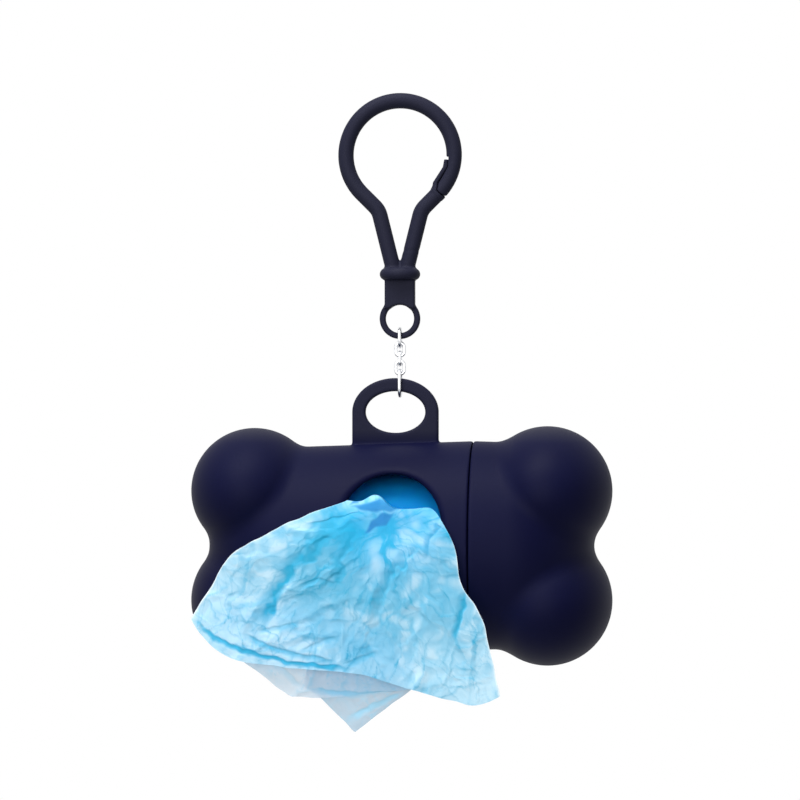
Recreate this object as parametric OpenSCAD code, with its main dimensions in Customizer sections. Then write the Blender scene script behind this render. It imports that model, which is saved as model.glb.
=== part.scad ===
// Bone-shaped dog waste bag dispenser hanging from a plastic snap clip.
// Millimetres, +Z up. The case's front faces -Y and its long axis runs along X.
// The origin is the centre of the clip's round loop, where the whole thing is hung up.

/* [Bag roll] */
// Diameter of a full roll of bags
roll_d = 32; // [26:0.5:34]
// Width of the film, which is the length of the roll
roll_l = 58; // [50:0.5:62]
// Outer diameter of the card core
core_d = 12; // [9:0.5:16]
// Wall of the card core
core_wall = 0.8; // [0.6:0.1:1.4]
// How far the core stands out past the film at each end
core_proud = 0.8; // [0.2:0.1:1.2]
// Height of the roll above whatever it lies on
roll_rest_gap = 0.3; // [0.2:0.05:0.5]

/* [Case] */
// Space between the roll and the bore when the roll is centred
roll_play = 1.8; // [1.2:0.1:3]
// Room past each end of the roll, up to the end wall
end_room = 7.7; // [6:0.1:10]
// Thinnest wall of the case
wall = 1.8; // [1.4:0.1:2.6]
// Extra radius that the barrel gains from its closed end to its seam
draft = 1.2; // [0.2:0.1:2]
// Radius that the cap's barrel loses from the seam to its dome
cap_draft = 0.2; // [0:0.1:1]
// Radius of a lobe of the cap, seen from the front
lobe_r = 12.9; // [11:0.1:14]
// How much smaller the lobes at the closed end are
lobe_shrink = 0.4; // [0:0.1:0.8]
// How far a lobe stands above or below the barrel
lobe_proud = 3; // [1.5:0.1:4.5]
// How far a lobe's front lies behind the barrel's front
lobe_set_back = 1.2; // [0:0.1:2]
// Depth of the dent between the two lobes at each end
notch = 3.6; // [2:0.1:5]
// Length of the domed end of the barrel
dome_l = 17; // [12:0.5:20]
// Length of the domed end of the bore, which stays clear of the roll
bore_dome_l = 12; // [8:0.5:15]
// Distance of the seam from the middle of the case
seam_off = 14.3; // [10:0.1:17]
// Width of the seam line between the case and the cap
seam_gap = 0.2; // [0.1:0.05:0.4]

/* [Spigot] */
// How far the spigot reaches into the cap
spigot_l = 7; // [5:0.5:9]
// Wall of the spigot
spigot_wall = 1.4; // [1:0.1:1.8]
// Radial clearance between the spigot and the cap's socket
spigot_fit = 0.08; // [0.04:0.01:0.1]
// Depth left free past the spigot's end in the socket
socket_room = 0.4; // [0.2:0.1:1]

/* [Dispensing hole] */
// Radius of the hole in the front of the case
hole_r = 9.7; // [8:0.1:11]
// Width of the bevel round the hole
hole_bevel = 1.1; // [0.5:0.1:1.6]
// Height of the hole's centre above the case's axis
hole_rise = 4.6; // [3:0.1:6]
// Distance of the hole from the middle, towards the closed end
hole_off = 0.6; // [0:0.1:2]

/* [Hang tab] */
// Half width of the slot in the tab
slot_a = 6; // [5:0.1:7]
// Half height of the slot in the tab
slot_b = 4.15; // [3.5:0.05:5]
// Rim of the tab round the slot
tab_rim = 2.65; // [2:0.05:3.2]
// Thickness of the tab
tab_t = 2.2; // [1.8:0.1:2.8]
// Height of the slot's centre above the barrel
tab_rise = 5.8; // [5.5:0.1:8]
// Distance of the tab from the chain's line, towards the closed end
tab_off = 0.9; // [0:0.1:1.2]
// Distance of the case's middle from the chain's line
case_x = 0.3; // [0:0.1:1]

/* [Chain] */
// Diameter of the chain's wire
wire_d = 0.7; // [0.6:0.05:0.85]
// Inner length of the middle links
link_l = 1.87; // [1.85:0.01:2.6]
// Inner width of the middle links
link_w = 1; // [0.95:0.05:1.3]
// Gap between two links where they bear on each other
link_gap = 0.05; // [0.03:0.01:0.08]
// Side clearance of an end link round the eye or the tab
end_play = 0.2; // [0.15:0.05:0.4]
// Room that lets the tab rock in the last link
rock_room = 0.45; // [0.4:0.05:0.8]

/* [Snap clip] */
// Radius of the loop, to the middle of its round bar
loop_r = 10.85; // [10:0.05:13]
// Diameter of the clip's bar
bar_d = 3.1; // [2.8:0.1:3.4]
// Angle below level at which the loop runs out into an arm
leave = 45; // [40:1:48]
// Straight run of an arm after the loop
arm_run = 3.7; // [3:0.1:4.5]
// Radius of the bend in an arm, to the middle of the bar
bend_r = 4; // [3:0.1:5]
// Angle of the bend in an arm
bend = 31; // [28:1:34]
// Height of the straight part of each arm, from the bend to the collar
arm_drop = 10.5; // [9:0.1:13]
// Radius of the collar
collar_r = 4.05; // [3.6:0.05:5]
// Height of the collar
collar_h = 2.4; // [2:0.1:3]
// Width of the stem
stem_w = 6; // [5:0.1:6.4]
// Thickness of the stem
stem_t = 3; // [2.4:0.1:3.4]
// Height of the stem, from the collar to the eye's centre
stem_h = 7.7; // [7:0.1:9]
// Inner radius of the eye
eye_r = 2.85; // [2.5:0.05:3.2]
// Rim of the eye
eye_rim = 1.2; // [1:0.05:1.4]
// Thickness of the eye
eye_t = 1.8; // [1.6:0.1:2.2]

/* [Clip gate] */
// Height of the gate's root above the collar
root_h = 4; // [3.6:0.1:5]
// Clearance round the gate's root
root_fit = 0.05; // [0.03:0.01:0.08]
// Width of the split between the gate and the nose
split_gap = 0.25; // [0.15:0.05:0.4]
// Thickness of the gate's tongue, front to back
tongue_w = 2.2; // [1.8:0.1:2.6]
// Thickness of the gate's tongue, from the loop's inside outwards
tongue_t = 1.15; // [0.9:0.05:1.3]
// Distance of the tongue's tip below the loop's centre
tip_drop = 1; // [0.6:0.1:1.6]
// Open notch above the tongue's tip
tip_notch = 0.6; // [0.4:0.1:1]
// How far the tongue's outer side lies inside the bar's inner side
tip_cover = 0.7; // [0.5:0.05:1]
// Upright run of the tongue below its tip
tip_run = 1.5; // [1:0.1:2]
// How far the tongue leans inwards
tongue_lean = 2; // [1.5:0.1:2.4]
// Height of the leaning run
lean_run = 3.1; // [2.6:0.1:3.6]
// Upright run below the leaning run
heel_run = 1.7; // [1.2:0.1:2.2]

/* [Drawn bag] */
// Thickness of the folded film that hangs in front of the case
film_t = 1.2; // [0.8:0.1:2]
// Distance of the hanging film from the case's front
film_gap = 1.2; // [0.6:0.1:2]
// Width of the gathered film in the hole
neck_w = 13; // [9:0.5:14]
// Height of the gathered film in the hole
neck_h = 2.4; // [1.6:0.1:3]
// Height of the hanging film, from the gathered part to its lowest corner
film_drop = 38; // [30:0.5:45]
// Reach of the hanging film towards the closed end
film_left = 38; // [30:0.5:42]
// Reach of the hanging film towards the cap
film_right = 21; // [15:0.5:25]

/* [Hidden] */

// Case sizes that follow from the roll
roll_r = roll_d / 2;
bore_r = roll_r + roll_play;
end_r = bore_r + wall;
seam_r = end_r + draft;
spigot_r = bore_r + spigot_wall;
socket_r = spigot_r + spigot_fit;
half_bore = roll_l / 2 + end_room;
half_case = half_bore + wall + notch;
seam_x = case_x + seam_off;

// Clip arm, in the loop's own plane: it leaves the loop at p1, bends from p2 to p3 and ends at p4
p1 = loop_r * [cos(leave), -sin(leave)];
p2 = p1 - arm_run * [sin(leave), cos(leave)];
bend_c = p2 + bend_r * [cos(leave), -sin(leave)];
p3 = bend_c + bend_r * [-cos(leave - bend), sin(leave - bend)];
lean = leave - bend;
collar_z = p3[1] - arm_drop;
p4 = p3 - arm_drop * [tan(lean), 1];
root = p4 + root_h * [tan(lean), 1];
stem_z = collar_z - collar_h;
eye_z = stem_z - stem_h;
eye_bar_z = eye_z - eye_r - eye_rim / 2;

// Gate split, in the loop's own plane
loop_in = loop_r - bar_d / 2;
loop_out = loop_r + bar_d / 2;
tip_x = loop_in + tip_cover;
tip_z = -tip_drop;
knee_z = tip_z - tip_run;
heel_x = tip_x - tongue_lean;
heel_z = knee_z - lean_run;
ledge_z = heel_z - heel_run;
ledge_run = 4;
slant = atan2(tip_x - heel_x, knee_z - heel_z);
head_arc = 14;

// Chain: inner ends of the links, from the clip's eye down to the tab
end_w_1 = eye_t + 2 * end_play;
end_w_5 = tab_t + 3 * end_play;
eye_room = 0.15;
l1_top = eye_bar_z + end_w_1 / 2;
l1_bot = eye_bar_z - eye_t / 2 - eye_room - wire_d - link_gap;
l2_top = l1_bot + link_gap;
l2_bot = l2_top - link_l;
l3_top = l2_bot + link_gap;
l3_bot = l3_top - link_l;
l4_top = l3_bot + link_gap;
l4_bot = l4_top - link_l;
l5_top = l4_bot + link_gap;
seat_5 = end_w_5 / 2 - sqrt(pow(end_w_5 / 2, 2) - pow(tab_t / 2, 2)) + end_play / 2;
slot_top_z = l5_top - link_gap - wire_d - rock_room - tab_rim;
l5_bot = slot_top_z - seat_5;

// Places of the tab and the case
slot_z = slot_top_z - slot_b;
axis_z = slot_z - tab_rise - seam_r;
roll_z = axis_z - roll_play + roll_rest_gap;
hole_x = case_x - hole_off;
hole_z = axis_z + hole_rise;

// Drawn bag
film_front = seam_r + film_gap;
neck_z = hole_z - 1.2;
neck_back = sqrt(pow(roll_r, 2) - pow(neck_z - neck_h / 2 - roll_z, 2)) + roll_rest_gap;

eps = 0.01;
// Straight bars are this much thinner than the bends that they lap into, so that the joints are clean
hair = 0.02;
lap = 0.15;
oval_step = 7.5;
lobe_step = 12;
$fn = 64;

// ---------- helpers ----------

// Turns a drawing in X and Y upright, into the plane of X and Z
module upright() {
    rotate([90, 0, 0]) children();
}

// Turns a solid that stands along Z so that it lies along X
module along_x() {
    rotate([0, 90, 0]) children();
}

// Round bar along an arc about a centre c, from angle a0 to a1
module arc_bar(c, r, a0, a1, d) {
    translate([c[0], 0, c[1]])
        upright()
            rotate([0, 0, a0])
                rotate_extrude(angle = a1 - a0)
                    translate([r, 0]) circle(d = d);
}

// Straight round bar from p to q in the plane of X and Z, run on by lap at both ends
module bar(p, q, d, lap = 0) {
    run = q - p;
    translate([p[0], 0, p[1]])
        rotate([0, atan2(run[0], run[1]), 0])
            translate([0, 0, -lap]) cylinder(h = norm(run) + 2 * lap, d = d);
}

// Chain link between two inner ends, flat in the plane of X and Z
module link(top, bot, w) {
    r = (w + wire_d) / 2;
    upper = top - w / 2;
    lower = bot + w / 2;
    arc_bar([0, upper], r, 0, 180, wire_d);
    arc_bar([0, lower], r, 180, 360, wire_d);
    for (side = [-1, 1])
        bar([side * r, lower], [side * r, upper], wire_d - hair, hair);
}

// Points of an oval with half width a and half height b, from angle a0 to a1
function oval(a, b, a0, a1) = [for (t = [a0 : oval_step : a1]) [a * cos(t), b * sin(t)]];

// Half profile of the barrel and its domed end, from x0 to the far end x1
function barrel_profile(x0, r0, r1, x1, dome) = concat(
    [[0, x0], [r0, x0]],
    [for (a = [0 : 9 : 90]) [r1 * cos(a), x1 - dome + dome * sin(a)]]
);

// Solid barrel with a domed end; side is 1 for the cap's end and -1 for the closed end
module barrel(from, r0, r1, far, dome, side) {
    translate([case_x, 0, axis_z])
        rotate([0, side * 90, 0])
            rotate_extrude() polygon(barrel_profile(from, r0, r1, far, dome));
}

// Half profile of a lobe: round seen from the front, and longer than that from front to back
function lobe_profile(r, depth) = concat(
    [[0, -depth]],
    [for (a = [lobe_step - 90 : lobe_step : 90 - lobe_step])
        [r * cos(a) / cos(lobe_step / 2), depth * sin(a)]],
    [[0, depth]]
);

// One pair of lobes, shrunk by a wall where they are the hollow
module lobes(side, r, thin) {
    x = case_x + side * (half_case - r);
    depth = seam_r - lobe_set_back - (lobe_r - r);
    for (z = [-1, 1])
        translate([x, 0, axis_z + z * (seam_r + lobe_proud - lobe_r)])
            rotate([90, 0, 0])
                rotate_extrude() polygon(lobe_profile(r - thin, depth - thin));
}

// Cylinder about the case's axis between two places along X
module core_space(x0, x1, r) {
    translate([x0, 0, axis_z]) along_x() cylinder(h = x1 - x0, r = r);
}

// Hollow for the roll at one end: what a straight core of the bore's size can form
module end_hollow(side, r, bore) {
    intersection() {
        union() {
            barrel(side > 0 ? seam_off : -seam_off - 1, bore, bore, half_bore, bore_dome_l, side);
            lobes(side, r, wall);
        }
        translate([case_x, 0, axis_z])
            rotate([0, side * 90, 0])
                translate([0, 0, side > 0 ? seam_off : -seam_off - 1])
                    cylinder(h = half_case + seam_off + 1, r = bore);
    }
}

// ---------- case ----------

module hang_tab() {
    translate([-tab_off, tab_t / 2, slot_z])
        upright()
            linear_extrude(tab_t)
                difference() {
                    polygon(concat(
                        oval(slot_a + tab_rim, slot_b + tab_rim, 0, 180),
                        [[-slot_a - tab_rim, -tab_rise - wall], [slot_a + tab_rim, -tab_rise - wall]]
                    ));
                    polygon(oval(slot_a, slot_b, 0, 360 - oval_step));
                }
}

module dispensing_hole() {
    bevel_y = seam_r - hole_bevel;
    translate([hole_x, 0, hole_z])
        rotate([90, 0, 0]) {
            cylinder(h = 2 * seam_r, r = hole_r);
            translate([0, 0, bevel_y])
                cylinder(h = 2 * hole_bevel, r1 = hole_r, r2 = hole_r + 2 * hole_bevel);
        }
}

module housing() {
    color([0.13, 0.13, 0.18])
        difference() {
            union() {
                barrel(-seam_off, seam_r, end_r, half_bore + wall, dome_l, -1);
                lobes(-1, lobe_r - lobe_shrink, 0);
                hang_tab();
                core_space(seam_x - eps, seam_x + spigot_l, spigot_r);
            }
            end_hollow(-1, lobe_r - lobe_shrink, bore_r);
            core_space(case_x, seam_x + spigot_l + 1, bore_r);
            dispensing_hole();
        }
}

module end_cap() {
    color([0.12, 0.12, 0.17])
        difference() {
            intersection() {
                union() {
                    barrel(seam_off, seam_r, seam_r - cap_draft, half_bore + wall, dome_l, 1);
                    lobes(1, lobe_r, 0);
                }
                core_space(seam_x + seam_gap, case_x + half_case + 1, 2 * seam_r);
            }
            end_hollow(1, lobe_r, bore_r);
            core_space(seam_x, seam_x + spigot_l + socket_room, socket_r);
        }
}

// ---------- clip ----------

// Outer side of the split: the share of the loop's end that stays the nose
module nose_room() {
    upright()
        translate([0, 0, -bar_d])
            linear_extrude(2 * bar_d)
                polygon([
                    [tip_x, 2 * bar_d],
                    [tip_x, knee_z],
                    [heel_x, heel_z],
                    [heel_x, ledge_z],
                    [heel_x + ledge_run, ledge_z - ledge_run],
                    [loop_out + bar_d, ledge_z - ledge_run],
                    [loop_out + bar_d, 2 * bar_d]
                ]);
}

// An arm from the loop to its foot: the straight runs are a hair thinner and lap into the bends
module arm(foot) {
    bar(p1, p2, bar_d - hair, lap);
    arc_bar(bend_c, bend_r, 180 - leave, 180 - leave + bend, bar_d);
    bar(p3, foot, bar_d - hair, lap);
}

// Cut that takes the gate's share off the end of the loop, with the split's clearance
module gate_room() {
    upright()
        translate([0, 0, -bar_d])
            linear_extrude(2 * bar_d)
                polygon([
                    [0, tip_z + tip_notch],
                    [tip_x + split_gap, tip_z + tip_notch],
                    [tip_x + split_gap, knee_z],
                    [heel_x + split_gap, heel_z],
                    [heel_x + split_gap, ledge_z + split_gap],
                    [heel_x + split_gap + ledge_run, ledge_z + split_gap - ledge_run],
                    [root[0], -loop_out],
                    [0, -loop_out]
                ]);
}

module clip_frame() {
    color([0.14, 0.14, 0.18]) {
        difference() {
            union() {
                arc_bar([0, 0], loop_r, -leave, 180 + leave, bar_d);
                rotate([0, 0, 180]) arm(p4);
                bar(root, p4, bar_d - hair);
                web();
                collar();
                stem();
            }
            gate_room();
            translate([root[0], 0, root[1]]) sphere(d = bar_d + 2 * root_fit);
            translate([0, 0, eye_z])
                rotate([90, 0, 0]) cylinder(h = 2 * stem_t, r = eye_r, center = true);
        }
    }
}

// Fills the bottom of the V between the two arms
module web() {
    web_h = root_h - bar_d / 2 - 4 * root_fit;
    web_inset = 0.2;
    translate([-p4[0], -bar_d / 2 + web_inset, collar_z])
        cube([2 * p4[0], bar_d - 2 * web_inset, web_h]);
}

// Round collar with a rounded rim
module collar() {
    translate([0, 0, stem_z])
        rotate_extrude() {
            square([collar_r - collar_h / 2, collar_h]);
            translate([collar_r - collar_h / 2, collar_h / 2]) circle(d = collar_h);
        }
}

module stem() {
    translate([-stem_w / 2, -stem_t / 2, eye_z + eye_r / 2])
        cube([stem_w, stem_t, stem_h - eye_r / 2 + eps]);
    translate([0, 0, eye_z])
        rotate([90, 0, 0])
            cylinder(h = eye_t, r = eye_r + eye_rim, center = true);
}

module clip_gate() {
    color([0.16, 0.16, 0.2])
        difference() {
            union() {
                translate([root[0], 0, root[1]]) sphere(d = bar_d);
                arm(root);
                arc_bar([0, 0], loop_r, -leave, -leave + head_arc, bar_d);
                tongue();
            }
            nose_room();
        }
}

// Thin tongue that lies along the inside of the nose
module tongue() {
    across = tongue_t / cos(slant);
    tip_share = 0.8;
    translate([0, tongue_w / 2, 0])
        upright()
            linear_extrude(tongue_w)
                polygon([
                    [tip_x, tip_z],
                    [tip_x, knee_z],
                    [heel_x, heel_z],
                    [heel_x, ledge_z],
                    [heel_x - across, ledge_z],
                    [heel_x - across, heel_z],
                    [tip_x - across, knee_z],
                    [tip_x - tip_share * across, tip_z]
                ]);
}

// ---------- chain ----------

module across_link(top, bot, w) {
    rotate([0, 0, 90]) link(top, bot, w);
}

module chain_link_1() {
    color([0.75, 0.76, 0.78]) across_link(l1_top, l1_bot, end_w_1);
}

module chain_link_2() {
    color([0.75, 0.76, 0.78]) link(l2_top, l2_bot, link_w);
}

module chain_link_3() {
    color([0.75, 0.76, 0.78]) across_link(l3_top, l3_bot, link_w);
}

module chain_link_4() {
    color([0.75, 0.76, 0.78]) link(l4_top, l4_bot, link_w);
}

module chain_link_5() {
    color([0.75, 0.76, 0.78]) across_link(l5_top, l5_bot, end_w_5);
}

// ---------- roll and film ----------

// Tube about the roll's axis
module roll_tube(l, r, inner) {
    translate([case_x - l / 2, 0, roll_z])
        along_x()
            difference() {
                cylinder(h = l, r = r);
                translate([0, 0, -1]) cylinder(h = l + 2, r = inner);
            }
}

module roll_core() {
    color([0.72, 0.6, 0.45])
        roll_tube(roll_l + 2 * core_proud, core_d / 2, core_d / 2 - core_wall);
}

module bag_roll() {
    core_fit = 0.05;
    color([0, 0.33, 0.56]) roll_tube(roll_l, roll_r, core_d / 2 + core_fit);
}

module drawn_bag() {
    low_z = neck_z - film_drop;
    color([0.56, 0.82, 0.94]) {
        translate([hole_x - neck_w / 2, -film_front - eps, neck_z - neck_h / 2])
            cube([neck_w, film_front + eps - neck_back, neck_h]);
        translate([0, -film_front, 0])
            upright()
                linear_extrude(film_t)
                    polygon([
                        [hole_x - neck_w / 2, neck_z + neck_h / 2],
                        [hole_x - film_left * 0.6, neck_z - film_drop * 0.25],
                        [-film_left, neck_z - film_drop * 0.5],
                        [-film_left * 0.5, neck_z - film_drop * 0.82],
                        [-film_left * 0.18, low_z],
                        [film_right * 0.15, neck_z - film_drop * 0.83],
                        [film_right * 0.75, neck_z - film_drop * 0.9],
                        [film_right, neck_z - film_drop * 0.82],
                        [film_right * 0.8, neck_z - film_drop * 0.45],
                        [hole_x + neck_w / 2 + 2, neck_z]
                    ]);
    }
}

housing();
end_cap();
clip_frame();
clip_gate();
chain_link_1();
chain_link_2();
chain_link_3();
chain_link_4();
chain_link_5();
roll_core();
bag_roll();
drawn_bag();
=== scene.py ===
import math
import time

import bpy
import numpy as np
import openvdb
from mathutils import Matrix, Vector


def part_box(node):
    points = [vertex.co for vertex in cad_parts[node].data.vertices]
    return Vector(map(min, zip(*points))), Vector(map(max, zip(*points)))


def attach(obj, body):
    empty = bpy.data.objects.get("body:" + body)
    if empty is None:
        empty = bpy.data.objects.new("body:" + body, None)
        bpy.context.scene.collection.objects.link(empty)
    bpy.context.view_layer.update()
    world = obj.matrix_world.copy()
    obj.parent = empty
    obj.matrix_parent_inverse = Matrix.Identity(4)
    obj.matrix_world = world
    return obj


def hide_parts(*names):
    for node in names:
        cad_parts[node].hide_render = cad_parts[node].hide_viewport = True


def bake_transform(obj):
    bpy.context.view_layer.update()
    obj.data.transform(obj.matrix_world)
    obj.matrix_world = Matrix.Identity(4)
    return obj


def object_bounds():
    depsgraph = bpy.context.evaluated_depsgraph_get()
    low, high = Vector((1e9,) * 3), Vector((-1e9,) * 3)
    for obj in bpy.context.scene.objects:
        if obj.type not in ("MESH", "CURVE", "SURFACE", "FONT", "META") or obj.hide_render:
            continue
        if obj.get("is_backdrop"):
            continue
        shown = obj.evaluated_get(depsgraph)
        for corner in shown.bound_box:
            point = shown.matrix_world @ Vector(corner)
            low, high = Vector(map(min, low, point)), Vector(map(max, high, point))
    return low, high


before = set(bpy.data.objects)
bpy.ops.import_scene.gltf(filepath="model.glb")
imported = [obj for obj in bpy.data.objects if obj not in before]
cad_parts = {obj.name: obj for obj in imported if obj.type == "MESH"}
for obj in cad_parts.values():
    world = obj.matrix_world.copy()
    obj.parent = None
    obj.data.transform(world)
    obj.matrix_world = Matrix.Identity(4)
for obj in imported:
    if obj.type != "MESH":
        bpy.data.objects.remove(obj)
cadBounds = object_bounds()
startTime = time.time()
mm = 0.001


def stage(words):
    print(f"{time.time() - startTime:6.1f} s  {words}")


# Places taken from the frame, in millimetres
housingLow, housingHigh = (np.array(c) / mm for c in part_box("housing"))
capLow, capHigh = (np.array(c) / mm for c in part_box("end_cap"))
rollLow, rollHigh = (np.array(c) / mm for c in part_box("bag_roll"))
clipLow, clipHigh = (np.array(c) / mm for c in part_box("clip_frame"))
gateLow, gateHigh = (np.array(c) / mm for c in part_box("clip_gate"))

caseX = (housingLow[0] + capHigh[0]) / 2
axisZ = (capLow[2] + capHigh[2]) / 2
seamX = capLow[0]
rollX = (rollLow[0] + rollHigh[0]) / 2
rollZ = (rollLow[2] + rollHigh[2]) / 2
rollRadius = (rollHigh[2] - rollLow[2]) / 2


def addObject(name, data):
    made = bpy.data.objects.new(name, data)
    bpy.context.scene.collection.objects.link(made)
    return made


def newMesh(name, points, faces):
    mesh = bpy.data.meshes.new(name)
    mesh.from_pydata(points, [], faces)
    mesh.polygons.foreach_set("use_smooth", np.ones(len(faces), bool))
    return mesh


def paint(mesh, title, values):
    layer = mesh.attributes.new(title, "FLOAT", "POINT")
    layer.data.foreach_set("value", np.asarray(values, np.float32).reshape(-1))


def outwards(piece):  # turns a quad mesh right side out
    mesh = piece.data
    corners = np.empty(len(mesh.loops), np.int32)
    mesh.loops.foreach_get("vertex_index", corners)
    points = np.empty(3 * len(mesh.vertices), np.float32)
    mesh.vertices.foreach_get("co", points)
    a, b, c, d = (points.reshape(-1, 3)[corners.reshape(-1, 4)[:, i]] for i in range(4))
    volume = (np.cross(b - a, c - a) * a).sum() + (np.cross(c - a, d - a) * a).sum()
    if volume < 0:
        mesh.flip_normals()


def finishPiece(piece, material, body, slot, *nodes):
    piece.data.materials.append(material)
    if nodes:
        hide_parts(*nodes)
    if body:
        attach(piece, body)


class Wire:  # a socket that can be added, subtracted and multiplied
    def __init__(self, tree, socket):
        self.tree = tree
        self.socket = socket

    def __add__(self, other):
        return self.tree.math("ADD", self, other)

    def __radd__(self, other):
        return self.tree.math("ADD", other, self)

    def __sub__(self, other):
        return self.tree.math("SUBTRACT", self, other)

    def __rsub__(self, other):
        return self.tree.math("SUBTRACT", other, self)

    def __mul__(self, other):
        return self.tree.math("MULTIPLY", self, other)

    def __rmul__(self, other):
        return self.tree.math("MULTIPLY", other, self)


class Tree:
    def __init__(self, tree, clear=False):
        self.tree = tree
        if clear:
            tree.nodes.clear()

    def node(self, kind, inputs=None, **settings):
        made = self.tree.nodes.new("ShaderNode" + kind)
        for key, value in settings.items():
            setattr(made, key, value)
        for key, value in (inputs or {}).items():
            self.put(made.inputs[key], value)
        return made

    def put(self, socket, value):
        if isinstance(value, Wire):
            value = value.socket
        if isinstance(value, bpy.types.NodeSocket):
            self.tree.links.new(value, socket)
        else:
            socket.default_value = value

    def math(self, operation, first, second):
        return Wire(self, self.node("Math", {0: first, 1: second}, operation=operation).outputs[0])

    def background(self):  # 1 where a ray should meet plain white
        path = self.node("LightPath").outputs
        seen = self.math("MAXIMUM", path["Is Camera Ray"], path["Is Transmission Ray"])
        return self.math("MAXIMUM", seen, path["Is Glossy Ray"])

    def place(self):
        return self.node("TexCoord").outputs["Object"]

    def noise(self, scale, detail=2.0, rough=0.5):
        inputs = {"Vector": self.place(), "Scale": scale, "Detail": detail, "Roughness": rough}
        return Wire(self, self.node("TexNoise", inputs).outputs[0])

    def painted(self, title):
        return Wire(self, self.node("Attribute", attribute_name=title).outputs["Fac"])

    def spread(self, value, low, high, toLow=0.0, toHigh=1.0):
        inputs = {0: value, 1: low, 2: high, 3: toLow, 4: toHigh}
        return Wire(self, self.node("MapRange", inputs, clamp=True).outputs[0])

    def colours(self, share, first, second):
        return self.node("Mix", {0: share, 6: first, 7: second}, data_type="RGBA").outputs[2]

    def bump(self, height, strength, distance, normal=None):
        inputs = {"Height": height, "Strength": strength, "Distance": distance}
        if normal is not None:
            inputs["Normal"] = normal
        return self.node("Bump", inputs).outputs[0]

    def shader(self, kind, inputs):
        return self.node(kind, inputs).outputs[0]

    def output(self, shader):
        self.node("OutputMaterial", {"Surface": shader})


def newMaterial(name):
    material = bpy.data.materials.new(name)
    material.use_nodes = True
    return material, Tree(material.node_tree, clear=True)


# The camera looks level at the hanging case, a little from the right
view = {
    "azimuth": 4.7,
    "distance": 0.6,
    "pixelsPerMetre": 5000,
    "picture": 800,
    "sensor": 36,
    "centre": (0.0, 0.0, -0.049),
}


def makeCamera():
    turn = math.radians(view["azimuth"])
    data = bpy.data.cameras.new("camera")
    data.sensor_width = view["sensor"]
    data.lens = data.sensor_width * view["distance"] * view["pixelsPerMetre"] / view["picture"]
    camera = addObject("camera", data)
    away = Vector((math.sin(turn), -math.cos(turn), 0))
    camera.location = Vector(view["centre"]) + view["distance"] * away
    camera.rotation_euler = (math.pi / 2, 0, turn)
    bpy.context.scene.camera = camera


lights = {
    "key": {"place": (-0.35, -0.4, 0.65), "size": 0.5, "power": 6.0},
    "top": {"place": (-0.05, -0.2, 0.75), "size": 0.6, "power": 8.5},
    "front": {"place": (-0.15, -0.85, 0.10), "size": 0.9, "power": 7.5},
}
surroundings = {
    "strength": 0.12,
    "aim": (0, 0, -0.06),
    "floorDrop": 0.32,
    "floorSize": 6.0,
    "floorShade": 0.4,
    "white": (1, 1, 1, 1),
}


def makeLights():
    aim = Vector(surroundings["aim"])
    for name, lamp in lights.items():
        data = bpy.data.lights.new(name, "AREA")
        data.shape = "DISK"
        data.size = lamp["size"]
        data.energy = lamp["power"]
        lampObject = addObject(name, data)
        lampObject.location = lamp["place"]
        lampObject.rotation_euler = (aim - Vector(lamp["place"])).to_track_quat("-Z", "Y").to_euler()
    scene = bpy.context.scene
    scene.view_settings.view_transform = "Standard"
    world = bpy.data.worlds.new("surroundings")
    scene.world = world
    world.use_nodes = True
    sky = Tree(world.node_tree)
    inputs = world.node_tree.nodes["Background"].inputs
    low = surroundings["strength"]
    sky.put(inputs["Strength"], sky.background() * (1 - low) + low)
    sky.put(inputs["Color"], surroundings["white"])


def makeFloor():
    size = surroundings["floorSize"] / 2
    low = -surroundings["floorDrop"]
    corners = [(-size, -size, low), (size, -size, low), (size, size, low), (-size, size, low)]
    floor = addObject("floor", newMesh("floor", corners, [(0, 1, 2, 3)]))
    material, tree = newMaterial("floor_white")
    shade = surroundings["floorShade"]
    plain = tree.shader("BsdfDiffuse", {"Color": (shade, shade, shade, 1)})
    glow = tree.shader("Emission", {"Color": surroundings["white"], "Strength": 1.0})
    tree.output(tree.shader("MixShader", {0: tree.background(), 1: plain, 2: glow}))
    floor.data.materials.append(material)
    floor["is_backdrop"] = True


middle = (0.3, 0.7)  # where most of a noise's values lie

plastic = {
    "colour": (0.0020, 0.0024, 0.0165, 1),
    "paler": (0.0032, 0.0038, 0.0195, 1),
    # Painted light: the tab colour makes the case plastic lighter towards its top, where light falls
    # stronger
    "tab": (0.0100, 0.0105, 0.0230, 1),
    # Painted light: the clip colours are the case plastic made lighter, as light falls stronger near the
    # top
    "clip": (0.0110, 0.0115, 0.0230, 1),
    "clipPaler": (0.0130, 0.0135, 0.0250, 1),
    "paintedLightFade": (20.6, 23.0),  # millimetres above the case's axis
    "rough": (0.50, 0.58),
    "clouds": (0.35, 0.7),
    "cloudScale": 55,
    "cloudBump": (0.25, 0.0001),
    "grainScale": 5200,
    "grainBump": (0.35, 0.000012),
    "scuffScale": 420,
    "scuffed": (0.6, 0.78),
    "scuffRough": 0.05,
    "sheen": 0.046,
    "ior": 1.45,
}


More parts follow.
